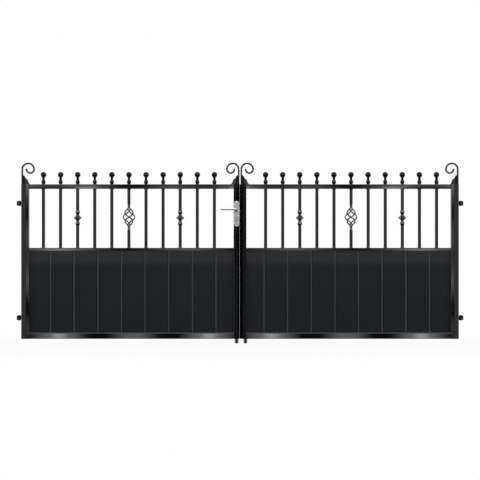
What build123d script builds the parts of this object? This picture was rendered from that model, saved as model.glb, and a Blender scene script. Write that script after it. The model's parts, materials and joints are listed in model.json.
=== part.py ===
"""A pair of wrought iron driveway gate leaves, hung on pinned brackets.

Each leaf is a welded frame of square tubes with an infill panel below the middle
rail and upright bars above it. Two bars of each leaf carry turned collars, one is
opened into a twisted basket, and every bar ends in a ball finial over the top rail.
Scrolls stand on the four top corners. The left leaf has the lock, and both leaves
have a drop bolt behind the meeting stile.

Frame: millimetres, +Z up, the leaves' fronts face -Y. The origin is the centre of
the face that the lower left hinge bracket turns to its post, so X = 0 is the face
of the left post, Y = 0 is the plane of the hinge pins, and Z = 0 is the middle of
the lower hinges.
"""
import os
from math import cos, hypot, pi, sin, sqrt

from build123d import *

# The pair of leaves
LEAVES_WIDTH = 2800
MEETING_GAP = 6
LEAF_HEIGHT = 990
HINGE_SETBACK = 15          # from the leaf's middle plane back to the hinge pins

# Frame tubes: width across the leaf or height, then depth
HINGE_STILE = 50
HINGE_STILE_DEPTH = 50
MEETING_STILE = 38
MEETING_STILE_DEPTH = 38
TOP_RAIL = 30
TOP_RAIL_DEPTH = 30
MIDDLE_RAIL = 20
MIDDLE_RAIL_DEPTH = 20
MIDDLE_RAIL_TOP = 583       # height above the foot of the leaf
BOTTOM_RAIL = 40
BOTTOM_RAIL_DEPTH = 30
TUBE_CORNER = 2.5           # outside corner radius of every tube
PANEL_THICKNESS = 15

# Upright bars
BAR_WIDTH = 20
BAR_COUNT = 11
FIRST_BAR_INSET = 141       # from the leaf's hinge edge to the first bar's middle
LAST_BAR_INSET = 161        # from the leaf's meeting edge to the last bar's middle
COLLARED_BARS = (2, 8)      # counted from 0 at the hinge side
BASKET_BAR = 5

# Turned collars: a double cone between two beads
COLLAR_RISE = 3.2           # from the middle of the bars up to the double cone
COLLAR_RADIUS = 26
COLLAR_EDGE = 2
COLLAR_HALF_HEIGHT = 18
COLLAR_NECK_RADIUS = 9.6
BEAD_RADIUS = 14.6
BEAD_HALF_HEIGHT = 15
BEAD_OFFSET = 36.5
BEAD_END_RADIUS = 9.5

# Twisted baskets
BASKET_RISE = 9.5           # from the middle of the bars up to the basket's middle
BASKET_RADIUS = 36.5
BASKET_HALF_HEIGHT = 70
BASKET_FULLNESS = 1.3       # power of the cosine that shapes the basket's side
STRAND_DIAMETER = 8.8
STRAND_COUNT = 4
STRAND_TWIST_DEGREES = 313  # from the lower end of a strand round to its upper end
STRAND_STATIONS = 12
STRAND_IN_NECK = 4
NECK_RADIUS = 8.8
NECK_END_RADIUS = 10
NECK_LENGTH = 14
NECK_SOCKET = 10            # how far the neck reaches in over the gathered strands

# Ball finials
BALL_RADIUS = 18.6
BALL_RISE = 61              # from the top rail up to the ball's middle
FINIAL_FOOT_RADIUS = 7.8
FINIAL_BEAD_RADIUS = 13.5
FINIAL_BEAD_RISE = 16.5
FINIAL_NECK_RADIUS = 6.5
FINIAL_NECK_RISE = 31
FINIAL_CUFF_RADIUS = 9.3
FINIAL_CUFF_RISE = 36

# Scrolls on the corners, bent from flat bar
SCROLL_BAR = 11
SCROLL_DEPTH = 20
SCROLL_STEM = 96            # straight part above the leaf
SCROLL_LOOP_RADIUS = 37.6   # of the bar's middle line in the upper half turn
SCROLL_CURL_RADIUS = 24.2
SCROLL_CURL_DEGREES = 176
SCROLL_SNUB_RADIUS = 5.9    # of the round end at the tip

# Lobed brackets between the scrolls and the top rail, measured from the leaf's edge
GUSSET_THICKNESS = 12
GUSSET_WIDTH = 58
GUSSET_HEIGHT = 58
GUSSET_NOTCH = (25.5, 39.5)
GUSSET_NOTCH_TO_FOOT = (19.5, -24.5)
GUSSET_UPPER_BULGE = 4
GUSSET_LOWER_BULGE = 5
GUSSET_FOOT_HOLLOW = 2

# Hinges: an eye on the leaf between the ears of a bracket on the post
POST_GAP = 32               # from the post's face to the leaf's edge
PIN_STANDOFF = 17           # from the post's face to the pin's axis
LOWER_HINGE_RISE = 134      # from the leaf's foot
UPPER_HINGE_DROP = 122      # from the leaf's top
PIN_RADIUS = 6
PIN_RUNNING_GAP = 0.1
PIN_SEAT_GAP = 0.1
PIN_HEAD_RADIUS = 9
PIN_HEAD = 3.5
BRACKET_HEIGHT = 27
BRACKET_PLATE = 6           # the thickness against the post
BRACKET_EAR = 4
BRACKET_HALF_WIDTH = 10
EYE_RADIUS = 10.5
EYE_END_GAP = 0.5
EYE_LUG = 12

# Drop bolts and their guides
BOLT_RADIUS = 12.5
BOLT_BELOW_LEAF = 32
BOLT_DROP = 100
BOLT_STOP_GAP = 5
BOLT_RUNNING_GAP = 0.6
BOLT_TIP_ROUND = 8
BOLT_TOP_CHAMFER = 3
LEFT_BOLT = 22              # from the middle of the gap to each rod's axis
RIGHT_BOLT = 35
BOLT_GRIP_RADIUS = 7
BOLT_GRIP_LENGTH = 75
GUIDE_WALL = 3.5
GUIDE_HEIGHT = 30
GUIDE_PLATE = 5
LOWER_GUIDE_RISE = 60       # from the leaf's foot to the foot of each guide
UPPER_GUIDE_RISE = 330

# Lock furniture on the left leaf
LOCK_DROP = 190             # from the leaf's top down to the middle of the plates
LOCK_PLATE_WIDTH = 35
LOCK_PLATE_HEIGHT = 165
LOCK_PLATE_THICKNESS = 4
LOCK_PLATE_ROUND = 1.3
SPINDLE_RISE = 30           # from the middle of the plates
SPINDLE_WIDTH = 8
SPINDLE_HOLE_RADIUS = 6.5
CYLINDER_FALL = 29          # from the middle of the plates
CYLINDER_RADIUS = 8.5
CYLINDER_TAIL = 10
CYLINDER_TAIL_DROP = 20
CYLINDER_PROUD = 2.5
LEVER_LENGTH = 102          # from the spindle's axis to the tip
LEVER_HEIGHT = 13
LEVER_THICKNESS = 10
LEVER_BEND = 14             # radius of the lever's middle line where it turns
LEVER_STANDOFF = 40         # from the plate to the lever's middle
LEVER_TIP_ROUND = 3
LEVER_ROSE_RADIUS = 11
LEVER_ROSE_HEIGHT = 6
LEVER_PLATE_GAP = 1

# Places worked out from the sizes above
LEAF_WIDTH = (LEAVES_WIDTH - MEETING_GAP) / 2
HINGE_EDGE = POST_GAP
MEETING_EDGE = HINGE_EDGE + LEAF_WIDTH
MIDDLE_X = MEETING_EDGE + MEETING_GAP / 2
LEAF_Y = -HINGE_SETBACK
LOWER_HINGE_Z = 0
FOOT = LOWER_HINGE_Z - LOWER_HINGE_RISE
TOP = FOOT + LEAF_HEIGHT
HINGE_HEIGHTS = (LOWER_HINGE_Z, TOP - UPPER_HINGE_DROP)
RAIL_START = HINGE_EDGE + HINGE_STILE
RAIL_END = MEETING_EDGE - MEETING_STILE
MIDDLE_RAIL_Z = FOOT + MIDDLE_RAIL_TOP
BARS_TOP = TOP - TOP_RAIL
BARS_MIDDLE = (MIDDLE_RAIL_Z + BARS_TOP) / 2
BAR_PITCH = (LEAF_WIDTH - FIRST_BAR_INSET - LAST_BAR_INSET) / (BAR_COUNT - 1)
STILE_MIDDLE = MEETING_EDGE - MEETING_STILE / 2
STILE_BACK = LEAF_Y + MEETING_STILE_DEPTH / 2
STILE_FRONT = LEAF_Y - MEETING_STILE_DEPTH / 2
BOLT_Y = STILE_BACK + GUIDE_WALL + BOLT_RUNNING_GAP + BOLT_RADIUS
LOCK_Z = TOP - LOCK_DROP
SPINDLE_Z = LOCK_Z + SPINDLE_RISE
OTHER_LEAF = Plane.YZ.offset(MIDDLE_X)
OTHER_EDGE = Plane.YZ.offset((HINGE_EDGE + MEETING_EDGE) / 2)

os.makedirs("parts", exist_ok=True)


def save(part, name):
    """Label a finished piece and write it as one STEP file."""
    part.label = name
    export_step(part, f"parts/{name}.step")


def save_pair(part, name):
    """Write a piece of the left leaf, and its mirror image on the right leaf."""
    save(part, f"left_{name}")
    save(mirror(part, about=OTHER_LEAF), f"right_{name}")


def bar_x(index):
    """Return the middle of a bar, counted from the hinge side."""
    return HINGE_EDGE + FIRST_BAR_INSET + index * BAR_PITCH


def bulged(start, end, bulge):
    """Return the point beside the middle of a falling chord, moved up and out by the bulge."""
    run, rise = end[0] - start[0], end[1] - start[1]
    length = hypot(run, rise)
    return ((start[0] + end[0]) / 2 - bulge * rise / length,
            (start[1] + end[1]) / 2 + bulge * run / length)


def upright_tube(left, right, depth):
    """Make a stile between two X values, over the whole height of the leaf."""
    with BuildPart() as tube:
        with BuildSketch(Plane.XY.offset(FOOT)):
            with Locations(((left + right) / 2, LEAF_Y)):
                RectangleRounded(right - left, depth, TUBE_CORNER)
        extrude(amount=LEAF_HEIGHT)
    return tube


def rail_tube(foot, height, depth):
    """Make a rail from stile to stile, standing on the height given."""
    with BuildPart() as tube:
        with BuildSketch(Plane.YZ.offset(RAIL_START)):
            with Locations((LEAF_Y, foot + height / 2)):
                RectangleRounded(depth, height, TUBE_CORNER)
        extrude(amount=RAIL_END - RAIL_START)
    return tube


def square_bars(indices, foot, top):
    """Make lengths of square bar between two heights, one at each place in the row."""
    with BuildPart() as bars:
        with BuildSketch(Plane.XY.offset(foot)):
            with Locations(*[(bar_x(index), LEAF_Y) for index in indices]):
                Rectangle(BAR_WIDTH, BAR_WIDTH)
        extrude(amount=top - foot)
    return bars


def turned_collar():
    """Turn a collar about the Z axis, with the double cone's middle on the origin."""
    bead_start = BEAD_OFFSET - BEAD_HALF_HEIGHT
    bead_end = BEAD_OFFSET + BEAD_HALF_HEIGHT
    with BuildPart() as collar:
        with BuildSketch(Plane.XZ):
            with BuildLine():
                Polyline((COLLAR_NECK_RADIUS, bead_start), (COLLAR_NECK_RADIUS, COLLAR_HALF_HEIGHT),
                         (COLLAR_RADIUS, COLLAR_EDGE / 2), (COLLAR_RADIUS, 0), (0, 0),
                         (0, bead_end), (BEAD_END_RADIUS, bead_end))
                ThreePointArc((BEAD_END_RADIUS, bead_end), (BEAD_RADIUS, BEAD_OFFSET),
                              (COLLAR_NECK_RADIUS, bead_start))
            make_face()
        revolve(axis=Axis.Z)
        mirror(about=Plane.XY)
    return collar


def collared_bars():
    """Make the bars that open into a turned collar halfway up."""
    collar_z = BARS_MIDDLE + COLLAR_RISE
    collar_end = BEAD_OFFSET + BEAD_HALF_HEIGHT
    lower = square_bars(COLLARED_BARS, MIDDLE_RAIL_Z, collar_z - collar_end)
    upper = square_bars(COLLARED_BARS, collar_z + collar_end, BARS_TOP)
    collar = turned_collar()
    with BuildPart() as bars:
        add(lower.part)
        add(upper.part)
        with Locations(*[(bar_x(index), LEAF_Y, collar_z) for index in COLLARED_BARS]):
            add(collar.part)
    return bars


def basket_strand(turn):
    """Sweep one strand round the Z axis, its distance from it a power of a cosine of height."""
    reach = BASKET_HALF_HEIGHT - STRAND_IN_NECK
    points = []
    for station in range(STRAND_STATIONS + 1):
        share = 2 * station / STRAND_STATIONS - 1
        swell = cos(pi / 2 * share * reach / BASKET_HALF_HEIGHT)
        radius = BASKET_RADIUS * swell ** BASKET_FULLNESS
        angle = (turn - STRAND_TWIST_DEGREES * share / 2) * pi / 180
        points.append((radius * sin(angle), -radius * cos(angle), share * reach))
    with BuildPart() as strand:
        with BuildLine() as path:
            Spline(*points)
        with BuildSketch(Plane(path.line @ 0, z_dir=path.line % 0)):
            Circle(STRAND_DIAMETER / 2)
        sweep(path=path.line)
    return strand


def twisted_basket():
    """Gather the strands of a basket between two necks, round the Z axis."""
    strands = [basket_strand(360 * strand / STRAND_COUNT) for strand in range(STRAND_COUNT)]
    with BuildPart() as basket:
        with BuildSketch(Plane.XZ):
            with BuildLine():
                Polyline((0, BASKET_HALF_HEIGHT - NECK_SOCKET),
                         (NECK_RADIUS, BASKET_HALF_HEIGHT - NECK_SOCKET),
                         (NECK_RADIUS, BASKET_HALF_HEIGHT),
                         (NECK_END_RADIUS, BASKET_HALF_HEIGHT + NECK_LENGTH),
                         (0, BASKET_HALF_HEIGHT + NECK_LENGTH), close=True)
            make_face()
        revolve(axis=Axis.Z)
        mirror(about=Plane.XY)
        for strand in strands:
            add(strand.part)
    return basket


def basket_bar():
    """Make the bar that opens into a twisted basket halfway up."""
    basket_z = BARS_MIDDLE + BASKET_RISE
    basket_end = BASKET_HALF_HEIGHT + NECK_LENGTH
    lower = square_bars([BASKET_BAR], MIDDLE_RAIL_Z, basket_z - basket_end)
    upper = square_bars([BASKET_BAR], basket_z + basket_end, BARS_TOP)
    basket = twisted_basket()
    with BuildPart() as bar:
        add(lower.part)
        add(upper.part)
        with Locations((bar_x(BASKET_BAR), LEAF_Y, basket_z)):
            add(basket.part)
    return bar


def ball_finial():
    """Turn a finial that stands on the origin: bead, neck, cuff and ball."""
    cuff_top = BALL_RISE - sqrt(BALL_RADIUS ** 2 - FINIAL_CUFF_RADIUS ** 2)
    with BuildPart() as finial:
        with BuildSketch(Plane.XZ):
            with BuildLine():
                Polyline((0, BALL_RISE + BALL_RADIUS), (0, 0), (FINIAL_FOOT_RADIUS, 0))
                ThreePointArc((FINIAL_FOOT_RADIUS, 0), (FINIAL_BEAD_RADIUS, FINIAL_BEAD_RISE),
                              (FINIAL_NECK_RADIUS, FINIAL_NECK_RISE))
                Polyline((FINIAL_NECK_RADIUS, FINIAL_NECK_RISE),
                         (FINIAL_CUFF_RADIUS, FINIAL_CUFF_RISE), (FINIAL_CUFF_RADIUS, cuff_top))
                ThreePointArc((FINIAL_CUFF_RADIUS, cuff_top), (BALL_RADIUS, BALL_RISE),
                              (0, BALL_RISE + BALL_RADIUS))
            make_face()
        revolve(axis=Axis.Z)
    return finial


def scrolls():
    """Bend the scroll over each end of a leaf, from its stem round to a snub at the tip."""
    stem_x = HINGE_EDGE + SCROLL_BAR / 2
    stem_top = TOP + SCROLL_STEM
    loop_x = stem_x + SCROLL_LOOP_RADIUS
    curl_x = loop_x + SCROLL_LOOP_RADIUS - SCROLL_CURL_RADIUS
    with BuildPart() as pair:
        with BuildLine(Plane.XZ.offset(-LEAF_Y)) as path:
            Line((stem_x, TOP), (stem_x, stem_top))
            CenterArc((loop_x, stem_top), SCROLL_LOOP_RADIUS, 180, -180)
            CenterArc((curl_x, stem_top), SCROLL_CURL_RADIUS, 0, -SCROLL_CURL_DEGREES)
        with BuildSketch(Plane.XY.offset(TOP)):
            with Locations((stem_x, LEAF_Y)):
                Rectangle(SCROLL_BAR, SCROLL_DEPTH)
        sweep(path=path.line)
        with Locations(path.line @ 1):
            Cylinder(SCROLL_SNUB_RADIUS, SCROLL_DEPTH, rotation=(90, 0, 0))
        mirror(about=OTHER_EDGE)
    return pair


def corner_brackets():
    """Cut the two-lobed bracket that stands on the rail beside each scroll's stem."""
    crown = (SCROLL_BAR, GUSSET_HEIGHT)
    notch = GUSSET_NOTCH
    hollow = (notch[0] + GUSSET_NOTCH_TO_FOOT[0], notch[1] + GUSSET_NOTCH_TO_FOOT[1])
    toe = (GUSSET_WIDTH, 0)
    with BuildPart() as brackets:
        with BuildSketch(Plane(origin=(HINGE_EDGE, LEAF_Y, TOP), x_dir=(1, 0, 0), z_dir=(0, -1, 0))):
            with BuildLine():
                Polyline(toe, (SCROLL_BAR, 0), crown)
                ThreePointArc(crown, bulged(crown, notch, GUSSET_UPPER_BULGE), notch)
                ThreePointArc(notch, bulged(notch, hollow, GUSSET_LOWER_BULGE), hollow)
                ThreePointArc(hollow, bulged(hollow, toe, -GUSSET_FOOT_HOLLOW), toe)
            make_face()
        extrude(amount=GUSSET_THICKNESS / 2, both=True)
        mirror(about=OTHER_EDGE)
    return brackets


def hinge_bracket(z):
    """Make one bracket of the left post: a face plate with two ears round the pin."""
    with BuildPart() as bracket:
        with Locations((BRACKET_PLATE / 2, 0, z)):
            Box(BRACKET_PLATE, 2 * BRACKET_HALF_WIDTH, BRACKET_HEIGHT)
        for ear_foot in (z - BRACKET_HEIGHT / 2, z + BRACKET_HEIGHT / 2 - BRACKET_EAR):
            with BuildSketch(Plane.XY.offset(ear_foot)):
                with Locations((PIN_STANDOFF / 2, 0)):
                    Rectangle(PIN_STANDOFF, 2 * BRACKET_HALF_WIDTH)
                with Locations((PIN_STANDOFF, 0)):
                    Circle(BRACKET_HALF_WIDTH)
                    Circle(PIN_RADIUS + PIN_SEAT_GAP, mode=Mode.SUBTRACT)
            extrude(amount=BRACKET_EAR)
    return bracket


def hinge_pins():
    """Make the two pins of one post, headed at both ends over the brackets' ears."""
    with BuildPart() as pins:
        for z in HINGE_HEIGHTS:
            with Locations((PIN_STANDOFF, 0, z)):
                Cylinder(PIN_RADIUS, BRACKET_HEIGHT)
            for side in (-1, 1):
                with Locations((PIN_STANDOFF, 0, z + side * (BRACKET_HEIGHT + PIN_HEAD) / 2)):
                    Cylinder(PIN_HEAD_RADIUS, PIN_HEAD)
    return pins


def hinge_eyes():
    """Make the two eyes of the left leaf, each with the lug that welds it to the stile."""
    height = BRACKET_HEIGHT - 2 * BRACKET_EAR - 2 * EYE_END_GAP
    with BuildPart() as eyes:
        for z in HINGE_HEIGHTS:
            with BuildSketch(Plane.XY.offset(z - height / 2)):
                with Locations(((PIN_STANDOFF + HINGE_EDGE) / 2, 0)):
                    Rectangle(HINGE_EDGE - PIN_STANDOFF, EYE_LUG)
                with Locations((PIN_STANDOFF, 0)):
                    Circle(EYE_RADIUS)
                    Circle(PIN_RADIUS + PIN_RUNNING_GAP, mode=Mode.SUBTRACT)
            extrude(amount=height)
    return eyes


def drop_bolt(x):
    """Make a round drop bolt with a cross grip over the upper guide."""
    foot = FOOT - BOLT_BELOW_LEAF
    guide_top = FOOT + UPPER_GUIDE_RISE + GUIDE_HEIGHT
    grip_z = guide_top + BOLT_STOP_GAP + BOLT_DROP + BOLT_GRIP_RADIUS
    top = grip_z + BOLT_RADIUS
    with BuildPart() as bolt:
        with Locations((x, BOLT_Y, (foot + top) / 2)):
            Cylinder(BOLT_RADIUS, top - foot)
        fillet(bolt.edges().group_by(Axis.Z)[0], BOLT_TIP_ROUND)
        chamfer(bolt.edges().group_by(Axis.Z)[-1], BOLT_TOP_CHAMFER)
        with BuildSketch(Plane.XZ.offset(-BOLT_Y)):
            with Locations((x, grip_z)):
                Circle(BOLT_GRIP_RADIUS)
        extrude(amount=-BOLT_GRIP_LENGTH)
    return bolt


def bolt_guides(x, stile_left):
    """Make the ring guides of a drop bolt on plates against a meeting stile's back."""
    bore = BOLT_RADIUS + BOLT_RUNNING_GAP
    plate_middle = (stile_left + MEETING_STILE / 2, STILE_BACK + GUIDE_PLATE / 2)
    with BuildPart() as guides:
        for rise in (LOWER_GUIDE_RISE, UPPER_GUIDE_RISE):
            with BuildSketch(Plane.XY.offset(FOOT + rise)):
                with Locations(plate_middle):
                    Rectangle(MEETING_STILE - 2 * TUBE_CORNER, GUIDE_PLATE)
                with Locations((x, BOLT_Y)):
                    Circle(bore + GUIDE_WALL)
                    Circle(bore, mode=Mode.SUBTRACT)
            extrude(amount=GUIDE_HEIGHT)
    return guides


def lock_cylinder(proud):
    """Make the lock cylinder through stile and plates, proud of each plate's face.

    Its outline is a circle with a narrower round-ended tail below it.
    """
    z = LOCK_Z - CYLINDER_FALL
    reach = LOCK_PLATE_THICKNESS + proud
    with BuildPart() as cylinder:
        with BuildSketch(Plane.XZ.offset(reach - STILE_FRONT)):
            with Locations((STILE_MIDDLE, z)):
                Circle(CYLINDER_RADIUS)
            with Locations((STILE_MIDDLE, z - CYLINDER_TAIL_DROP / 2)):
                Rectangle(CYLINDER_TAIL, CYLINDER_TAIL_DROP)
            with Locations((STILE_MIDDLE, z - CYLINDER_TAIL_DROP)):
                Circle(CYLINDER_TAIL / 2)
        extrude(amount=-(MEETING_STILE_DEPTH + 2 * reach))
    return cylinder


def lock_plate(face, outward):
    """Make a round-ended lock plate on one face of the stile, outward along +Y or -Y."""
    core = lock_cylinder(0)
    with BuildPart() as plate:
        with BuildSketch(Plane.XZ.offset(-face)):
            with Locations((STILE_MIDDLE, LOCK_Z)):
                SlotOverall(LOCK_PLATE_HEIGHT, LOCK_PLATE_WIDTH, rotation=90)
            with Locations((STILE_MIDDLE, SPINDLE_Z)):
                Circle(SPINDLE_HOLE_RADIUS, mode=Mode.SUBTRACT)
        extrude(amount=-outward * LOCK_PLATE_THICKNESS)
        outer_face = plate.faces().sort_by(Axis.Y)[-1 if outward > 0 else 0]
        fillet(outer_face.outer_wire().edges(), LOCK_PLATE_ROUND)
        add(core.part, mode=Mode.SUBTRACT)
    return plate


def lever(face, outward):
    """Bend a lever that stands out from one lock plate and points to the hinges."""
    neck_y = face + outward * (LOCK_PLATE_THICKNESS + LEVER_PLATE_GAP)
    arm_y = face + outward * (LOCK_PLATE_THICKNESS + LEVER_STANDOFF)
    foot = (STILE_MIDDLE, neck_y, SPINDLE_Z)
    corner = (STILE_MIDDLE, arm_y, SPINDLE_Z)
    tip = (STILE_MIDDLE - LEVER_LENGTH, arm_y, SPINDLE_Z)
    foot_plane = Plane(origin=foot, x_dir=(1, 0, 0), z_dir=(0, outward, 0))
    with BuildPart() as bar:
        with BuildLine() as path:
            FilletPolyline(foot, corner, tip, radius=LEVER_BEND)
        with BuildSketch(foot_plane):
            Ellipse(LEVER_THICKNESS / 2, LEVER_HEIGHT / 2)
        sweep(path=path.line)
        fillet(bar.faces().sort_by(Axis.X)[0].edges(), LEVER_TIP_ROUND)
        with BuildSketch(foot_plane):
            Circle(LEVER_ROSE_RADIUS)
        extrude(amount=LEVER_ROSE_HEIGHT)
    return bar


# Hinge brackets and their pins, on the two posts
for name, z in zip(("lower", "upper"), HINGE_HEIGHTS):
    bracket = hinge_bracket(z)
    save(bracket.part, f"hinge_bracket_left_{name}")
    save(mirror(bracket.part, about=OTHER_LEAF), f"hinge_bracket_right_{name}")
pins = hinge_pins()
save(pins.part, "hinge_pins_left")
save(mirror(pins.part, about=OTHER_LEAF), "hinge_pins_right")

# Frames, with the lock's holes through the left meeting stile
save_pair(upright_tube(HINGE_EDGE, RAIL_START, HINGE_STILE_DEPTH).part, "hinge_stile")
meeting_stile = upright_tube(RAIL_END, MEETING_EDGE, MEETING_STILE_DEPTH)
save(mirror(meeting_stile.part, about=OTHER_LEAF), "right_meeting_stile")
cylinder_hole = lock_cylinder(0)
with BuildPart() as lock_stile:
    add(meeting_stile.part)
    add(cylinder_hole.part, mode=Mode.SUBTRACT)
    with BuildSketch(Plane.XZ.offset(-STILE_FRONT)):
        with Locations((STILE_MIDDLE, SPINDLE_Z)):
            Circle(SPINDLE_HOLE_RADIUS)
    extrude(amount=-MEETING_STILE_DEPTH, mode=Mode.SUBTRACT)
save(lock_stile.part, "left_meeting_stile")
save_pair(rail_tube(BARS_TOP, TOP_RAIL, TOP_RAIL_DEPTH).part, "top_rail")
panel_top = MIDDLE_RAIL_Z - MIDDLE_RAIL
save_pair(rail_tube(panel_top, MIDDLE_RAIL, MIDDLE_RAIL_DEPTH).part, "middle_rail")
save_pair(rail_tube(FOOT, BOTTOM_RAIL, BOTTOM_RAIL_DEPTH).part, "bottom_rail")

# Infill panels between the stiles and the two lower rails
panel_foot = FOOT + BOTTOM_RAIL
with BuildPart() as infill_panel:
    with Locations(((RAIL_START + RAIL_END) / 2, LEAF_Y, (panel_foot + panel_top) / 2)):
        Box(RAIL_END - RAIL_START, PANEL_THICKNESS, panel_top - panel_foot)
save_pair(infill_panel.part, "infill_panel")

# Bars, collars, baskets and finials
plain_indices = [index for index in range(BAR_COUNT)
                 if index not in COLLARED_BARS and index != BASKET_BAR]
save_pair(square_bars(plain_indices, MIDDLE_RAIL_Z, BARS_TOP).part, "plain_bars")
save_pair(collared_bars().part, "collared_bars")
save_pair(basket_bar().part, "basket_bar")
finial = ball_finial()
with BuildPart() as ball_finials:
    with Locations(*[(bar_x(index), LEAF_Y, TOP) for index in range(BAR_COUNT)]):
        add(finial.part)
save_pair(ball_finials.part, "ball_finials")

# Scrolls and their brackets over the stiles
save_pair(scrolls().part, "scrolls")
save_pair(corner_brackets().part, "corner_brackets")

# Hinge eyes
save_pair(hinge_eyes().part, "hinge_eyes")

# Drop bolts and their guides behind the meeting stiles
left_bolt_x = MIDDLE_X - LEFT_BOLT
right_bolt_x = MIDDLE_X + RIGHT_BOLT
save(drop_bolt(left_bolt_x).part, "left_drop_bolt")
save(drop_bolt(right_bolt_x).part, "right_drop_bolt")
save(bolt_guides(left_bolt_x, RAIL_END).part, "left_bolt_guides")
save(bolt_guides(right_bolt_x, MEETING_EDGE + MEETING_GAP).part, "right_bolt_guides")

# Lock furniture on both faces of the left meeting stile
save(lock_plate(STILE_FRONT, -1).part, "lock_plate_front")
save(lock_plate(STILE_BACK, 1).part, "lock_plate_back")
save(lock_cylinder(CYLINDER_PROUD).part, "lock_cylinder")
save(lever(STILE_FRONT, -1).part, "lever_front")
save(lever(STILE_BACK, 1).part, "lever_back")
spindle_reach = LOCK_PLATE_THICKNESS + LEVER_PLATE_GAP
with BuildPart() as lock_spindle:
    with Locations((STILE_MIDDLE, LEAF_Y, SPINDLE_Z)):
        Box(SPINDLE_WIDTH, MEETING_STILE_DEPTH + 2 * spindle_reach, SPINDLE_WIDTH)
save(lock_spindle.part, "lock_spindle")
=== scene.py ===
"""Looks of a pair of wrought iron driveway gate leaves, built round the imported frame.

Metres. The fronts of the leaves face -Y, +Z is up and X runs from the left post to the right one.
"""
import json
import math

import bpy
import numpy as np
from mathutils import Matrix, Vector


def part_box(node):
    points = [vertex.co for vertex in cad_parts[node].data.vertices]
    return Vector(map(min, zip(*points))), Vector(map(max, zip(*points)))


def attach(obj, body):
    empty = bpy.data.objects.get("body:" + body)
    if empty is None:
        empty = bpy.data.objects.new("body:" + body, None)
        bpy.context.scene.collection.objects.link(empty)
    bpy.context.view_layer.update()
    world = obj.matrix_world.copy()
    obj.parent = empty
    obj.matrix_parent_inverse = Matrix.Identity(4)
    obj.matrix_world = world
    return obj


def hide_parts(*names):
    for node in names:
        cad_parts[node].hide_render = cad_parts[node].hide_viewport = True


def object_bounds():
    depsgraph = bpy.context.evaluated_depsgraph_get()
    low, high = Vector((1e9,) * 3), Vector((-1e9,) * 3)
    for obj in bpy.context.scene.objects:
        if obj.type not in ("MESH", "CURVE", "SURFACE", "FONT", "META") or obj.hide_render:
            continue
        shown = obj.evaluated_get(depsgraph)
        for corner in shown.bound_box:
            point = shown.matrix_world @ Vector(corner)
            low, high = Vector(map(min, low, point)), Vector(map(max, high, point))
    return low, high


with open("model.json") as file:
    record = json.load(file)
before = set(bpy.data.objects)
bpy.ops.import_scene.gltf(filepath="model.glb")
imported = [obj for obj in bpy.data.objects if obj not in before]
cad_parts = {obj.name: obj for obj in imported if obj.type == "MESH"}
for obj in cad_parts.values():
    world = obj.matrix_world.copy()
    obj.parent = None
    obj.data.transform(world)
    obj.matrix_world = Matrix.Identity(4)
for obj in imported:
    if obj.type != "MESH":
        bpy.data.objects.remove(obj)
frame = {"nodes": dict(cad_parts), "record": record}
cad_bounds = [list(corner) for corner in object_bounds()]

# Places read from the frame
MIDDLE_X = (cad_bounds[0][0] + cad_bounds[1][0]) / 2
LEAF_MIDDLE = MIDDLE_X - (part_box("left_hinge_stile")[0][0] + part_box("left_meeting_stile")[1][0]) / 2
STILE_INNER_EDGE = MIDDLE_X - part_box("left_hinge_stile")[1][0]
LEAVES = ("left_leaf", "right_leaf")

# Camera and picture
PICTURE_MIDDLE_Z = 0.499
PICTURE_WIDTH = 3.08
CAMERA_DISTANCE = 12.0
SENSOR_MILLIMETRES = 36.0

# Slow waves in the tubes: the middle lean, then the rise, spacing and first crest of two waves.
# The first wave's crests stand where the photo shows bright patches, and the second wave makes some
# of them brighter. A rail's crests are measured from the gate's middle, and a stile's by its height.
WAVES = {
    "top_rail": (0.02, (0.05, 0.50, 0.96), (0.04, 1.20, 0.00)),
    "middle_rail": (0.04, (0.08, 0.84, 1.16), (0.03, 2.40, 1.20)),
    "bottom_rail": (0.09, (0.13, 0.48, 0.68), (0.04, 1.00, 0.18)),
    "hinge_stile": (0.03, (0.04, 0.30, 0.53), (0.03, 0.70, 1.00)),
}

# Other leans of the tubes' faces, up to the sky or down to the floor
RAIL_ROLL = 3.0              # lean a metre that the top and middle rails gain towards their foot
ROLL_TURN = 1.06             # distance from the gate's middle past which the top rail rolls the other way
ROLL_BLEND = 0.03            # half the width over which it changes
RAIL_EDGE = 0.0055           # width of the light edge on top of the bottom rail
RAIL_EDGE_BLEND = 0.3        # share of that width over which the edge fades, either way
RAIL_EDGE_LEAN = 0.090
FOOT_LEAN = 0.058            # lean a metre that the uprights gain below this height
FOOT_LEAN_FROM = 0.72
STILE_WAVES_WIDTH = 0.020    # width of the inner part of a hinge stile, which has the waves
STILE_WAVES_BLEND = 0.003    # half the width over which they end
CLOSING_STRIP = 0.0165       # from the gate's middle to the far edge of the strip beside the gap
CLOSING_BLEND = 0.002        # half the width over which that strip ends
CLOSING_LEAN = -0.250        # of that strip of the meeting stiles, down to the dark floor
BRACKET_INNER_LOBE = 0.672   # distance from the leaf's middle up to which a corner bracket leans up
BRACKET_OUTER_LOBE = 0.684   # and past which it leans down
BRACKET_INNER_LEAN = 0.03
BRACKET_OUTER_LEAN = -0.12

# Boards of the infill panels
BOARD_WIDTH = 0.1515
FIRST_JOINT = 0.185          # from the leaf's hinge edge
BOARD_JOINTS = 8
JOINT_WALL = 0.0026          # width of the steep side of a joint
JOINT_FLOOR = 0.0002
JOINT_CHAMFER = 0.0080       # width of the sloping side of a joint
JOINT_DEPTH = 0.0030
JOINT_SOFTNESS = 0.0004      # width of the rounding where a board's face turns into a joint
WALL_ROUNDING = 0.12         # share of the depth at the end of that rounding, on the steep side
CHAMFER_ROUNDING = 0.04      # and on the sloping side

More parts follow.
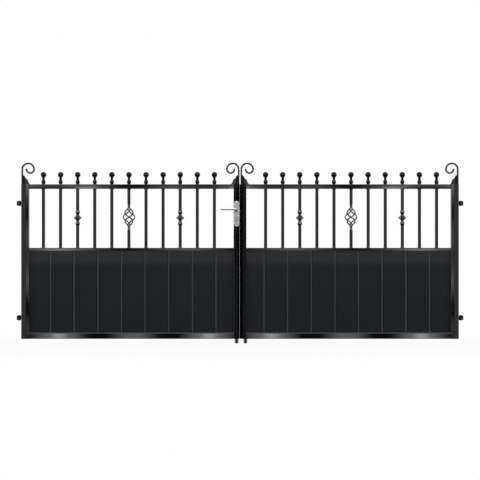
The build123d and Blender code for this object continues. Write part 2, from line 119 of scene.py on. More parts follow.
# Weld beads
BEAD_LEG = 0.0026
BEAD_ROOT = BEAD_LEG / 3     # how far the bead's closing edge lies in the metal
BEAD_RIPPLE = 0.12
BEAD_RIPPLE_PITCH = 0.0028
BEAD_STEP = 0.0012
BEAD_SECTION = 5             # points on the bead's round side
BEAD_LEAST_POINTS = 24       # round the shortest weld
BAR_CORNER = 0.0004          # radius of a bar's corner
FINIAL_WELD = 0.0175         # width of the weld round the foot of a finial
FINIAL_WELD_CORNER = 0.00874
SOLIDS_APART = 0.03          # gap along X that parts two solids of one node

# Closing lip on the edge of the right leaf
LIP_REACH = 0.0055
LIP_DEPTH = 0.010
LIP_SETBACK = 0.014          # from the front of the stile to the lip
LIP_POINTS = 13

# Turned faces of the screws and of the lock's plugs
TURNED_RINGS = 22
TURNED_STEPS = 96
TURNED_ROOT = 0.002          # how far a turned face's rim runs back into the metal

# Screws of the lock plates
SCREW_RADIUS = 0.0042
SCREW_DOME = 0.0011
SCREW_RECESS_WIDTH = 0.0006
SCREW_RECESS_REACH = 0.0026
SCREW_RECESS_DEPTH = 0.0014
SCREW_RECESS_SLOPE = 0.4     # share of the recess's reach over which its ends slope
SCREW_INSET = 0.0095         # from the end of a lock plate

# Plug and keyway of the lock cylinder
PLUG_RADIUS = 0.0062
PLUG_PROUD = 0.0005
KEYWAY_WIDTH = 0.0010
KEYWAY_REACH = 0.0042
KEYWAY_DEPTH = 0.0022
WARD_DEPTH = 0.0004
WARD_PITCH = 0.0042

# Powder coats and paint: the darkest and lightest colour, the range of roughness, and the shine
GLOSS_BLACK = ((0.0012, 0.0012, 0.0013), (0.0020, 0.0020, 0.0022), (0.14, 0.19), 1.0)
SATIN_BLACK = ((0.003, 0.003, 0.003), (0.005, 0.005, 0.005), (0.34, 0.46), 0.2)
MEETING_STILE_SHINE = 0.26
FINIAL_ROUGHNESS = (0.24, 0.30)
FINIAL_SHINE = 0.20
COAT_CLOUDS = 9.0            # scale of the faint change of colour
COAT_PATCHES = 30.0          # scale of the change of roughness
SAG_SCALE = 7.0
SAG_DETAIL = 1.0
SAG_HEIGHT = 0.0005
PEEL_SCALE = 420.0
PEEL_DETAIL = 1.5
PEEL_HEIGHT = 0.00003

# Coat of the boards
BOARD_DARK = (0.0074, 0.0082, 0.0112)
BOARD_LIGHT = (0.0084, 0.0092, 0.0126)
# Painted reflection: a paler band of colour high on the panel stands in for light reflected there
BOARD_PAINTED_REFLECTION = (0.0165, 0.0168, 0.0190)
PAINTED_REFLECTION_BELOW_TOP = (0.105, 0.055)   # from the panel's top to where the painted reflection band starts and is full
# Painted highlight on the sloping side of each joint, where light catches it
CHAMFER_PAINTED_HIGHLIGHT = (0.030, 0.031, 0.034)
CHAMFER_HIGHLIGHT_TURN = (0.12, 0.25)       # turn of a face to the hinges at which the painted highlight starts and is full
# Painted shade on the steep side of each joint, nearly black, and the turn at which it starts and is full
WALL_PAINTED_SHADE = (0.0005, 0.0005, 0.0006)
WALL_SHADE_TURN = (-0.4, -0.6)
BOARD_ROUGHNESS = (0.38, 0.46)
BOARD_SHINE = 0.12
BOARD_CLOUDS = 3.0
BOARD_GRAIN = (160.0, 160.0, 3.0)
BOARD_GRAIN_HEIGHT = 0.00006
BOARD_SPECKLE = 900.0
BOARD_SPECKLE_DETAIL = 1.0
BOARD_SPECKLE_HEIGHT = 0.00003

# Metals and rubber
STEEL = ((0.74, 0.74, 0.75), 0.26, (40.0, 900.0, 900.0))     # colour, roughness, scales of the streaks
NICKEL = ((0.50, 0.49, 0.46), 0.32, (900.0, 900.0, 60.0))
STREAK_SHADE = 0.86          # colour in a streak, as a share of the metal's own
STREAK_ROUGHNESS = 0.05      # either way
STREAK_HEIGHT = 0.00002
SMUDGE_SCALE = 60.0
SMUDGE_ROUGHNESS = (-0.03, 0.05)
RUBBER_BLACK = (0.002, 0.002, 0.002)
RUBBER_ROUGHNESS = (0.62, 0.80)
RUBBER_SHINE = 0.05
RUBBER_GRAIN = 1200.0
RUBBER_GRAIN_DETAIL = 2.0
RUBBER_GRAIN_HEIGHT = 0.00004

# Shader nodes
NOISE_RANGE = (0.3, 0.7)     # values between which most of a noise pattern lies
MIX_FIRST = 6                # places of the colour sockets on a Mix node
MIX_SECOND = 7
MIX_RESULT = 2

# Studio floor
FLOOR_Z = -0.19
FLOOR_SIZE = 60.0
FLOOR_GREY = 0.6             # its colour, where it takes the gate's shadow
FLOOR_WHITENING = 0.9        # share of white light in what the camera sees of the floor at the gate
FLOOR_FADE = (0.3, 1.6)      # distances from the gate over which the floor fades into white
MIRRORED_FADE = (-0.10, 0.05)     # Y over which glossy metal sees it go from dark to white

# Studio room: its brightness, and the directions of a ray between which that changes
FRONT_DARK = 0.0             # in front of the gate, below the camera
FRONT_GREY = 0.33            # at the camera's height
FRONT_PALE = 1.13            # and above it
BEHIND_PALE = 1.0            # behind the gate
DARK_TO_GREY = (-0.19, -0.095)
GREY_TO_PALE = (0.045, 0.30)
FRONT_TO_BEHIND = (-0.35, 0.15)

# Lamps, each with its width, height and watts
LAMP_AIM_Z = 0.4
WIDE_BOX_Y = -4.0
WIDE_BOX_Z = 2.4
WIDE_BOX = (6.0, 1.2, 72)
SIDE_BOX_X = 3.0             # out from either end of the gate
SIDE_BOX_Y = -2.2
SIDE_BOX_Z = 0.8
SIDE_BOX = (1.8, 2.4, 55)


def new_node(tree, kind, inputs=None, **settings):
    """Add a shader node with its settings and the values of its sockets."""
    node = tree.nodes.new(kind)
    for name, value in settings.items():
        setattr(node, name, value)
    for name, value in (inputs or {}).items():
        node.inputs[name].default_value = value
    return node


def calculate(tree, operation, first, second=0.0):
    """Join two sockets or numbers by one sum, and return the result's socket."""
    node = new_node(tree, "ShaderNodeMath", operation=operation)
    for socket, value in zip(node.inputs, (first, second)):
        if isinstance(value, (int, float)):
            socket.default_value = value
        else:
            tree.links.new(value, socket)
    return node.outputs["Value"]


def start_material(name, colour, roughness, metallic=0.0, shine=0.5):
    """Start a material and return it with its tree, its shader and its object coordinates.

    The shine is the shader's specular level, at which 0.5 is the gloss of plain lacquer.
    """
    material = bpy.data.materials.new(name)
    material.use_nodes = True
    tree = material.node_tree
    shader = tree.nodes["Principled BSDF"]
    shader.inputs["Base Color"].default_value = (*colour, 1)
    shader.inputs["Roughness"].default_value = roughness
    shader.inputs["Metallic"].default_value = metallic
    shader.inputs["Specular IOR Level"].default_value = shine
    coordinates = new_node(tree, "ShaderNodeTexCoord")
    return material, tree, shader, coordinates.outputs["Object"]


def split_place(tree, place):
    """Split a place or a direction into its X, Y and Z, and return their sockets by name."""
    split = new_node(tree, "ShaderNodeSeparateXYZ")
    tree.links.new(place, split.inputs["Vector"])
    return split.outputs


def stretched(tree, coordinates, scale):
    """Stretch object coordinates, so that a pattern runs finer or longer along an axis."""
    mapping = new_node(tree, "ShaderNodeMapping", {"Scale": scale})
    tree.links.new(coordinates, mapping.inputs["Vector"])
    return mapping.outputs["Vector"]


def noise(tree, coordinates, scale, detail=3.0):
    """Read a noise pattern, from 0 to 1."""
    node = new_node(tree, "ShaderNodeTexNoise", {"Scale": scale, "Detail": detail})
    tree.links.new(coordinates, node.inputs["Vector"])
    return node.outputs["Fac"]


def spread(tree, value, low, high):
    """Spread the middle of a noise pattern over a range of values."""
    limits = {"From Min": NOISE_RANGE[0], "From Max": NOISE_RANGE[1], "To Min": low, "To Max": high}
    node = new_node(tree, "ShaderNodeMapRange", limits)
    tree.links.new(value, node.inputs["Value"])
    return node.outputs["Result"]


def ramp(tree, value, start, end, low=0.0, high=1.0):
    """Climb smoothly from one value to another between two places."""
    limits = {"From Min": start, "From Max": end, "To Min": low, "To Max": high}
    node = new_node(tree, "ShaderNodeMapRange", limits, interpolation_type="SMOOTHSTEP")
    tree.links.new(value, node.inputs["Value"])
    return node.outputs["Result"]


def mix_colours(tree, factor, first, second):
    """Mix two colours, each a socket or three numbers, by a factor."""
    node = new_node(tree, "ShaderNodeMix", data_type="RGBA")
    tree.links.new(factor, node.inputs["Factor"])
    for place, colour in ((MIX_FIRST, first), (MIX_SECOND, second)):
        if isinstance(colour, tuple):
            node.inputs[place].default_value = (*colour, 1)
        else:
            tree.links.new(colour, node.inputs[place])
    return node.outputs[MIX_RESULT]


def mix_shaders(tree, factor, first, second):
    """Mix two shaders by a factor, and return the shader's socket."""
    node = new_node(tree, "ShaderNodeMixShader")
    for socket, source in zip(node.inputs, (factor, first, second)):
        tree.links.new(source, socket)
    return node.outputs["Shader"]


def bump(tree, height, distance, under=None):
    """Raise the surface by a height pattern, over the bump that lies under it."""
    node = new_node(tree, "ShaderNodeBump", {"Strength": 1.0, "Distance": distance})
    tree.links.new(height, node.inputs["Height"])
    if under is not None:
        tree.links.new(under, node.inputs["Normal"])
    return node.outputs["Normal"]


def distance_from(tree, along, place):
    """Measure how far a coordinate lies from a place, either way."""
    return calculate(tree, "ABSOLUTE", calculate(tree, "SUBTRACT", along, float(place)))


def add_waves(tree, along, waves):
    """Add up slow cosine waves of a coordinate, round a middle value."""
    middle, *crests = waves
    total = middle
    for rise, length, crest in crests:
        from_crest = calculate(tree, "SUBTRACT", along, crest)
        turn = calculate(tree, "MULTIPLY", from_crest, 2 * math.pi / length)
        wave = calculate(tree, "MULTIPLY", calculate(tree, "COSINE", turn), rise)
        total = calculate(tree, "ADD", wave, total)
    return total


def rolled_rail_lean(tree, x, z, kind, roll):
    """Lean a rail in waves from the gate's middle, plus its roll times the depth below its axis."""
    low, high = (corner[2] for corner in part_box(f"left_{kind}"))
    below_axis = calculate(tree, "SUBTRACT", (low + high) / 2, z)
    waves = add_waves(tree, distance_from(tree, x, MIDDLE_X), WAVES[kind])
    return calculate(tree, "ADD", waves, calculate(tree, "MULTIPLY", below_axis, roll))


def top_rail_lean(tree, x, z):
    """Lean the top rail in waves, with a roll that changes sides near its outer end."""
    from_middle = distance_from(tree, x, MIDDLE_X)
    start, end = ROLL_TURN + ROLL_BLEND, ROLL_TURN - ROLL_BLEND
    roll = ramp(tree, from_middle, start, end, -RAIL_ROLL, RAIL_ROLL)
    return rolled_rail_lean(tree, x, z, "top_rail", roll)


def middle_rail_lean(tree, x, z):
    """Lean the middle rail in waves, with one roll all along."""
    return rolled_rail_lean(tree, x, z, "middle_rail", RAIL_ROLL)


def bottom_rail_lean(tree, x, z):
    """Lean the bottom rail in waves from the gate's middle, with a steady light edge on top."""
    waves = add_waves(tree, distance_from(tree, x, MIDDLE_X), WAVES["bottom_rail"])
    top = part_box("left_bottom_rail")[1][2]
    start = top - (1 + RAIL_EDGE_BLEND) * RAIL_EDGE
    end = top - (1 - RAIL_EDGE_BLEND) * RAIL_EDGE
    edge = ramp(tree, z, start, end)
    under = calculate(tree, "MULTIPLY", waves, calculate(tree, "SUBTRACT", 1.0, edge))
    return calculate(tree, "ADD", under, calculate(tree, "MULTIPLY", edge, RAIL_EDGE_LEAN))


def upright_lean(tree, x, z):
    """Lean the uprights up a little more, the nearer to their foot."""
    below = calculate(tree, "MAXIMUM", calculate(tree, "SUBTRACT", FOOT_LEAN_FROM, z), 0.0)
    return calculate(tree, "MULTIPLY", below, FOOT_LEAN)


def hinge_stile_lean(tree, x, z):
    """Lean the inner part of a hinge stile in slow waves up its height, and the rest as an upright."""
    from_middle = distance_from(tree, x, MIDDLE_X)
    waves_end = STILE_INNER_EDGE + STILE_WAVES_WIDTH
    inner = ramp(tree, from_middle, waves_end + STILE_WAVES_BLEND, waves_end - STILE_WAVES_BLEND)
    outer = calculate(tree, "SUBTRACT", 1.0, inner)
    waves = calculate(tree, "MULTIPLY", inner, add_waves(tree, z, WAVES["hinge_stile"]))
    return calculate(tree, "ADD", waves, calculate(tree, "MULTIPLY", outer, upright_lean(tree, x, z)))


def meeting_stile_lean(tree, x, z):
    """Lean the strip of each meeting stile beside the gap down, and the rest as an upright."""
    from_gap = distance_from(tree, x, MIDDLE_X)
    start, end = CLOSING_STRIP - CLOSING_BLEND, CLOSING_STRIP + CLOSING_BLEND
    strip = ramp(tree, from_gap, start, end, CLOSING_LEAN, 0.0)
    return calculate(tree, "ADD", strip, upright_lean(tree, x, z))


def corner_bracket_lean(tree, x, z):
    """Lean the inner lobe of each corner bracket up a little, and the lobe beside the scroll down."""
    from_leaf_middle = distance_from(tree, distance_from(tree, x, MIDDLE_X), LEAF_MIDDLE)
    return ramp(tree, from_leaf_middle, BRACKET_OUTER_LOBE, BRACKET_INNER_LOBE,
                BRACKET_OUTER_LEAN, BRACKET_INNER_LEAN)


def leaning_normal(tree, place, lean):
    """Add a lean to the normal's Z, by a function of the object's X and Z, and make it a unit again."""
    split = split_place(tree, place)
    upward = new_node(tree, "ShaderNodeCombineXYZ")
    tree.links.new(lean(tree, split["X"], split["Z"]), upward.inputs["Z"])
    straight = new_node(tree, "ShaderNodeNewGeometry")
    leaning = new_node(tree, "ShaderNodeVectorMath", operation="ADD")
    tree.links.new(straight.outputs["Normal"], leaning.inputs[0])
    tree.links.new(upward.outputs["Vector"], leaning.inputs[1])
    unit = new_node(tree, "ShaderNodeVectorMath", operation="NORMALIZE")
    tree.links.new(leaning.outputs["Vector"], unit.inputs[0])
    return unit.outputs["Vector"]


def powder_coat(name, dark, light, roughness, shine, lean=None):
    """Black powder coat: orange peel over faces that lean a little up or down.

    The lean is the slope by which a face turns towards the sky, as on hand-made tubes.
    """
    material, tree, shader, place = start_material(name, dark, roughness[0], shine=shine)
    clouds = spread(tree, noise(tree, place, COAT_CLOUDS), 0.0, 1.0)
    tree.links.new(mix_colours(tree, clouds, dark, light), shader.inputs["Base Color"])
    patches = spread(tree, noise(tree, place, COAT_PATCHES), *roughness)
    tree.links.new(patches, shader.inputs["Roughness"])
    surface = None if lean is None else leaning_normal(tree, place, lean)
    surface = bump(tree, noise(tree, place, SAG_SCALE, SAG_DETAIL), SAG_HEIGHT, surface)
    surface = bump(tree, noise(tree, place, PEEL_SCALE, PEEL_DETAIL), PEEL_HEIGHT, surface)
    tree.links.new(surface, shader.inputs["Normal"])
    return material


def board_coat():
    """Satin blue-black board: faint upright grain, and a paler band under the middle rail, which is a
    painted reflection.

    A face that turns to the hinges is the sloping side of a joint, painted paler as a highlight, and one
    that turns from them is the steep side, painted nearly black as shade.
    """
    material, tree, shader, place = start_material("satin board coat with painted light", BOARD_DARK, BOARD_ROUGHNESS[0],
                                                   shine=BOARD_SHINE)
    split = split_place(tree, place)
    clouds = spread(tree, noise(tree, place, BOARD_CLOUDS), 0.0, 1.0)
    shade = mix_colours(tree, clouds, BOARD_DARK, BOARD_LIGHT)
    panel_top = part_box("left_infill_panel")[1][2]
    # Painted reflection: a paler band of colour below the panel's top
    painted_reflection_band = ramp(tree, split["Z"], *(panel_top - below for below in PAINTED_REFLECTION_BELOW_TOP))
    shade = mix_colours(tree, painted_reflection_band, shade, BOARD_PAINTED_REFLECTION)
    facing = new_node(tree, "ShaderNodeNewGeometry")
    turned = split_place(tree, facing.outputs["True Normal"])
    side = calculate(tree, "SIGN", calculate(tree, "SUBTRACT", split["X"], MIDDLE_X))
    to_hinge = calculate(tree, "MULTIPLY", turned["X"], side)
    # Painted highlight on faces turned to the hinges, and painted shade on faces turned from them
    for turns, colour in ((CHAMFER_HIGHLIGHT_TURN, CHAMFER_PAINTED_HIGHLIGHT), (WALL_SHADE_TURN, WALL_PAINTED_SHADE)):
        shade = mix_colours(tree, ramp(tree, to_hinge, *turns), shade, colour)
    tree.links.new(shade, shader.inputs["Base Color"])
    grain = noise(tree, stretched(tree, place, BOARD_GRAIN), 1.0)
    tree.links.new(spread(tree, grain, *BOARD_ROUGHNESS), shader.inputs["Roughness"])
    surface = bump(tree, grain, BOARD_GRAIN_HEIGHT)
    speckle = noise(tree, place, BOARD_SPECKLE, BOARD_SPECKLE_DETAIL)
    tree.links.new(bump(tree, speckle, BOARD_SPECKLE_HEIGHT, surface), shader.inputs["Normal"])
    return material


def brushed_metal(name, colour, roughness, grain):
    """Brushed metal: fine streaks along one axis in its colour, roughness and surface."""
    material, tree, shader, place = start_material(name, colour, roughness, metallic=1.0)
    streaks = noise(tree, stretched(tree, place, grain), 1.0)
    in_streaks = tuple(STREAK_SHADE * part for part in colour)
    shade = mix_colours(tree, spread(tree, streaks, 0.0, 1.0), in_streaks, colour)
    tree.links.new(shade, shader.inputs["Base Color"])
    brushing = spread(tree, streaks, roughness - STREAK_ROUGHNESS, roughness + STREAK_ROUGHNESS)
    smudges = spread(tree, noise(tree, place, SMUDGE_SCALE), *SMUDGE_ROUGHNESS)
    tree.links.new(calculate(tree, "ADD", brushing, smudges), shader.inputs["Roughness"])
    tree.links.new(bump(tree, streaks, STREAK_HEIGHT), shader.inputs["Normal"])
    return material


def rubber():
    """Matt black rubber with a fine moulded grain."""
    material, tree, shader, place = start_material("black rubber", RUBBER_BLACK, RUBBER_ROUGHNESS[0],
                                                   shine=RUBBER_SHINE)
    grain = noise(tree, place, RUBBER_GRAIN, RUBBER_GRAIN_DETAIL)
    tree.links.new(spread(tree, grain, *RUBBER_ROUGHNESS), shader.inputs["Roughness"])
    tree.links.new(bump(tree, grain, RUBBER_GRAIN_HEIGHT), shader.inputs["Normal"])
    return material


def grid_faces(rows, columns, closed_rows, closed_columns):
    """Number the four corners of each face of a grid of points, joined round where it is closed."""
    row = np.arange(rows if closed_rows else rows - 1)[:, None]
    column = np.arange(columns if closed_columns else columns - 1)[None, :]
    next_row = (row + 1) % rows
    next_column = (column + 1) % columns
    corners = np.broadcast_arrays(row * columns + column, row * columns + next_column,
                                  next_row * columns + next_column, next_row * columns + column)
    return np.stack(corners, axis=-1).reshape(-1, 4)


def carried_up(outline, heights):
    """Carry a flat outline straight up to each of some heights, and return all the points."""
    levels = [np.column_stack([outline, np.full(len(outline), z)]) for z in heights]
    return np.concatenate(levels)


def make_piece(name, points, faces, material, body, smooth=True):
    """Put an array of points and a list of faces into a mesh object that rides on a body."""
    mesh = bpy.data.meshes.new(name)
    mesh.from_pydata(points.tolist(), [], faces)
    mesh.polygons.foreach_set("use_smooth", [smooth] * len(mesh.polygons))
    mesh.materials.append(material)
    piece = bpy.data.objects.new(name, mesh)
    bpy.context.scene.collection.objects.link(piece)
    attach(piece, body)
    return piece


def board_outline(low, high, hinge_edge, away):
    """Walk round the section of a row of boards, along the front and back along the rear.

    Across the leaf the face lies at the panel's thickness, less a joint's depth: at each joint it
    drops at once on the hinge side, and climbs in a straight line on the meeting side. The joints
    stand evenly from the hinge edge, each with the middle of its slope on the line.
    """
    across = np.cumsum([0, JOINT_SOFTNESS, JOINT_WALL, JOINT_FLOOR, JOINT_CHAMFER, JOINT_SOFTNESS])
    down = JOINT_DEPTH * np.array([0, WALL_ROUNDING, 1, 1, CHAMFER_ROUNDING, 0])
    slope_middle = JOINT_SOFTNESS + JOINT_WALL + JOINT_FLOOR + JOINT_CHAMFER / 2
    joints = FIRST_JOINT + BOARD_WIDTH * np.arange(BOARD_JOINTS)
    x = hinge_edge + away * (joints[:, None] + across[None, :] - slope_middle)
    x = np.concatenate([x.ravel(), [low[0], high[0]]])
    depth = np.concatenate([np.tile(down, BOARD_JOINTS), [0, 0]])
    order = np.argsort(x)
    x, depth = x[order], depth[order]
    front = np.stack([x, low[1] + depth], axis=1)
    rear = np.stack([x, high[1] - depth], axis=1)[::-1]
    return np.concatenate([front, rear])


def board_row(leaf, material):
    """Carry the outline of a row of tongued boards up the infill panel, and close its ends."""
    low, high = (np.array(corner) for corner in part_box(leaf.replace("leaf", "infill_panel")))
    stile_low, stile_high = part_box(leaf.replace("leaf", "hinge_stile"))
    on_left = leaf == "left_leaf"
    outline = board_outline(low, high, stile_low[0] if on_left else stile_high[0], 1 if on_left else -1)
    count = len(outline)
    points = carried_up(outline, (low[2], high[2]))
    sides = grid_faces(2, count, False, True)
    column = np.arange(count // 2 - 1)
    foot = np.stack([column, count - 1 - column, count - 2 - column, column + 1], axis=1)
    head = foot[:, ::-1] + count
    faces = np.concatenate([sides, foot, head]).tolist()
    piece = make_piece(leaf.replace("leaf", "boards"), points, faces, material, leaf,
                       smooth=False)
    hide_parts(leaf.replace("leaf", "infill_panel"))
    return piece


def rounded_loop(width, depth, radius, step):
    """Walk round a rectangle with round corners, and return places, outward directions and lengths.

    The centre of the corner arc and its angle both go in a straight line from one arc's start or
    end to the next, against the length walked: on a side only the centre moves, and at a corner
    only the angle.
    """
    half = np.array([width / 2 - radius, depth / 2 - radius])
    corners = np.array([[1, 1], [-1, 1], [-1, -1], [1, -1], [1, 1]])
    centres = np.repeat(corners, 2, axis=0)[:-1] * half
    angles = np.array([0, 1, 1, 2, 2, 3, 3, 4, 4]) * math.pi / 2
    lengths = np.abs(np.diff(centres, axis=0)).sum(axis=1) + radius * np.diff(angles)
    walked = np.concatenate([[0], np.cumsum(lengths)])
    count = max(BEAD_LEAST_POINTS, int(walked[-1] / step))
    station = np.arange(count) / count * walked[-1]
    turn = np.interp(station, walked, angles)
    outward = np.stack([np.cos(turn), np.sin(turn)], axis=1)
    centre = np.stack([np.interp(station, walked, centres[:, side]) for side in (0, 1)], axis=1)
    return centre + radius * outward, outward, station


def weld_loop(centre, across, along, size, corner_radius):
    """Carry a weld bead's section round the foot of a bar, and return its points and faces.

    The section is a quarter circle from the plate to the bar, closed by a point in the metal
    behind it. Its radius ripples as a cosine of the length welded. Across and along are the two
    axes of the plate, and the bead climbs along their cross product.
    """
    loop, outward, station = rounded_loop(*size, corner_radius, BEAD_STEP)
    climb = np.cross(across, along)
    ripples = round(station[-1] / BEAD_RIPPLE_PITCH)
    share = np.arange(len(station)) / len(station)
    leg = BEAD_LEG * (1 + BEAD_RIPPLE * np.cos(2 * math.pi * ripples * share))
    turn = np.linspace(0, math.pi / 2, BEAD_SECTION)
    root = np.full((len(leg), 1), -BEAD_ROOT)
    out = np.concatenate([leg[:, None] * np.cos(turn), root], axis=1)
    rise = np.concatenate([leg[:, None] * np.sin(turn), root], axis=1)
    plane = loop[:, None, :] + out[:, :, None] * outward[:, None, :]
    points = (np.array(centre) + plane[..., 0:1] * np.array(across) + plane[..., 1:2] * np.array(along)
              + rise[..., None] * climb)
    return points.reshape(-1, 3), grid_faces(len(loop), BEAD_SECTION + 1, True, True)


def join_loops(loops):
    """Join the points and faces of many loops into one mesh."""
    starts = np.cumsum([0] + [len(points) for points, _ in loops[:-1]])
    points = np.concatenate([points for points, _ in loops])
    faces = np.concatenate([faces + start for (_, faces), start in zip(loops, starts)])
    return points, faces.tolist()


def solid_boxes(node):
    """Return the boxes of a node's separate solids, found from the gaps between them along X."""
    mesh = frame["nodes"][node].data
    points = np.empty(len(mesh.vertices) * 3)
    mesh.vertices.foreach_get("co", points)
    points = points.reshape(-1, 3)
    points = points[np.argsort(points[:, 0])]
    breaks = np.flatnonzero(np.diff(points[:, 0]) > SOLIDS_APART) + 1
    return [(group.min(axis=0), group.max(axis=0)) for group in np.split(points, breaks)]


def leaf_welds(leaf, material):
    """Weld the bars of one leaf to its middle and top rails, and the finials to its top rail."""
    side = leaf.split("_")[0]
    middle_y = sum(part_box(f"{side}_infill_panel")[end][1] for end in (0, 1)) / 2
    right, back, _ = np.eye(3)
    plain_bars = solid_boxes(f"{side}_plain_bars")
    turned_bars = solid_boxes(f"{side}_collared_bars") + solid_boxes(f"{side}_basket_bar")
    bar_low, bar_high = plain_bars[0]
    width = bar_high[0] - bar_low[0]
    foot_z, top_z = (corner[2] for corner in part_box(f"{side}_plain_bars"))
    loops = []
    for low, high in plain_bars + turned_bars:
        x = (low[0] + high[0]) / 2
        for z, across, along in ((foot_z, right, back), (top_z, back, right)):
            loops.append(weld_loop((x, middle_y, z), across, along, (width, width), BAR_CORNER))
    for low, high in solid_boxes(f"{side}_ball_finials"):
        foot = ((low[0] + high[0]) / 2, middle_y, low[2])
        loops.append(weld_loop(foot, right, back, (FINIAL_WELD, FINIAL_WELD), FINIAL_WELD_CORNER))
    points, faces = join_loops(loops)
    return make_piece(f"{side}_welds", points, faces, material, leaf)


def closing_lip(material):
    """Carry the section of a rubber lip up the edge of the right leaf, over the gap.

    The section is a flat foot against the stile and half an ellipse that reaches into the gap.
    """
    stile_low, stile_high = (np.array(corner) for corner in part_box("right_meeting_stile"))
    turn = np.linspace(-math.pi / 2, math.pi / 2, LIP_POINTS)
    middle_y = stile_low[1] + LIP_SETBACK + LIP_DEPTH / 2
    outline = np.stack([stile_low[0] - LIP_REACH * np.cos(turn),
                        middle_y + LIP_DEPTH / 2 * np.sin(turn)], axis=1)
    points = carried_up(outline, (stile_low[2], stile_high[2]))
    sides = grid_faces(2, LIP_POINTS, False, True)[:, ::-1].tolist()
    foot = list(range(LIP_POINTS))
    head = list(range(2 * LIP_POINTS - 1, LIP_POINTS - 1, -1))
    return make_piece("closing_lip", points, sides + [foot, head], material, "right_leaf",
                      smooth=False)


def turned_face(name, centre, outward, radius, height, material, body):
    """Turn a round face whose height is a function of the place on it.

    Rings of points go from the middle to the rim, and one more goes straight back into the metal.
    One point closes the middle of the face, and another the middle of its hidden back.
    """
    share = np.linspace(0, 1, TURNED_RINGS)[1:, None]
    turn = np.linspace(0, 2 * math.pi, TURNED_STEPS, endpoint=False)[None, :]
    x = radius * share * np.cos(turn)
    z = radius * share * np.sin(turn)
    rings = np.stack([x, height(x, z), z], axis=2).reshape(-1, 3)
    rim = np.stack([x[-1], np.full(TURNED_STEPS, -TURNED_ROOT), z[-1]], axis=1)
    middles = np.array([[0, float(height(0.0, 0.0)), 0], [0, -TURNED_ROOT, 0]])
    local = np.concatenate([rings, rim, middles])
    points = np.array(centre) + local * np.array([1, outward, 1])
    sides = grid_faces(TURNED_RINGS, TURNED_STEPS, False, True)
    step = np.arange(TURNED_STEPS)
    after = (step + 1) % TURNED_STEPS
    last = (TURNED_RINGS - 1) * TURNED_STEPS
    hub = np.full(TURNED_STEPS, TURNED_RINGS * TURNED_STEPS)
    front_fan = np.stack([hub, after, step], axis=1)
    rear_fan = np.stack([hub + 1, last + step, last + after], axis=1)
    faces = sides.tolist() + front_fan.tolist() + rear_fan.tolist()
    if outward > 0:
        faces = [face[::-1] for face in faces]
    return make_piece(name, points, faces, material, body)


def screw_height(x, z):
    """Height of a domed screw head, cut by a cross recess with sloping ends."""
    dome = SCREW_DOME * (1 - (x ** 2 + z ** 2) / SCREW_RADIUS ** 2)
    in_cross = np.minimum(np.abs(x), np.abs(z)) < SCREW_RECESS_WIDTH
    from_end = SCREW_RECESS_REACH - np.maximum(np.abs(x), np.abs(z))
    slope = np.clip(from_end / (SCREW_RECESS_SLOPE * SCREW_RECESS_REACH), 0, 1)
    return dome - np.where(in_cross, SCREW_RECESS_DEPTH * slope, 0)


def plug_height(x, z):
    """Height of the lock's plug, cut by an upright keyway with a ward on each side."""
    ward = WARD_DEPTH * np.sin(z * 2 * math.pi / WARD_PITCH)
    in_keyway = (np.abs(x - ward) < KEYWAY_WIDTH) & (np.abs(z) < KEYWAY_REACH)
    return PLUG_PROUD - np.where(in_keyway, KEYWAY_DEPTH, 0)


def lock_details(steel, nickel):
    """Put two screws in each lock plate, and the plug with its keyway in each end of the cylinder."""
    for side, outward in (("front", -1), ("back", 1)):
        low, high = (np.array(corner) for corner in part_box(f"lock_plate_{side}"))
        face = low[1] if outward < 0 else high[1]
        x = (low[0] + high[0]) / 2
        for end, z in (("upper", high[2] - SCREW_INSET), ("lower", low[2] + SCREW_INSET)):
            turned_face(f"{side}_{end}_screw", (x, face, z), outward, SCREW_RADIUS, screw_height,
                        steel, "left_leaf")
        low, high = (np.array(corner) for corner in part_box("lock_cylinder"))
        face = low[1] if outward < 0 else high[1]
        z = high[2] - (high[0] - low[0]) / 2
        turned_face(f"{side}_lock_plug", (x, face, z), outward, PLUG_RADIUS, plug_height,
                    nickel, "left_leaf")


def coat_nodes():
    """Give every node of the frame its finish, by its kind or else by its material slot."""
    dark, light, roughness, _ = GLOSS_BLACK
    plain_gloss = powder_coat("gloss black coat", *GLOSS_BLACK, upright_lean)
    by_kind = {
        "top_rail": powder_coat("top rail coat", *GLOSS_BLACK, top_rail_lean),
        "middle_rail": powder_coat("middle rail coat", *GLOSS_BLACK, middle_rail_lean),
        "bottom_rail": powder_coat("bottom rail coat", *GLOSS_BLACK, bottom_rail_lean),
        "hinge_stile": powder_coat("hinge stile coat", *GLOSS_BLACK, hinge_stile_lean),
        "meeting_stile": powder_coat("meeting stile coat", dark, light, roughness,
                                     MEETING_STILE_SHINE, meeting_stile_lean),
        "corner_brackets": powder_coat("corner bracket coat", *GLOSS_BLACK, corner_bracket_lean),
        "ball_finials": powder_coat("finial coat", dark, light, FINIAL_ROUGHNESS, FINIAL_SHINE),
    }
    by_slot = {
        "black_gloss": plain_gloss,
        "hinge_black": powder_coat("satin black paint", *SATIN_BLACK),
        "panel_board": board_coat(),
        "satin_steel": brushed_metal("satin steel", *STEEL),
        "lock_brass": brushed_metal("satin nickel", *NICKEL),
    }
    for part in frame["record"]["subparts"]:
        name = part["node"]
        kind = name.split("_", 1)[1]
        mesh = frame["nodes"][name].data
        mesh.materials.clear()
        mesh.materials.append(by_kind.get(kind, by_slot[part["material_slot"]]))
    return by_slot


def seen_directly(tree):
    """Tell whether a ray comes from the camera, straight or through glass."""
    path = new_node(tree, "ShaderNodeLightPath")
    return calculate(tree, "MAXIMUM", path.outputs["Is Camera Ray"], path.outputs["Is Transmission Ray"])


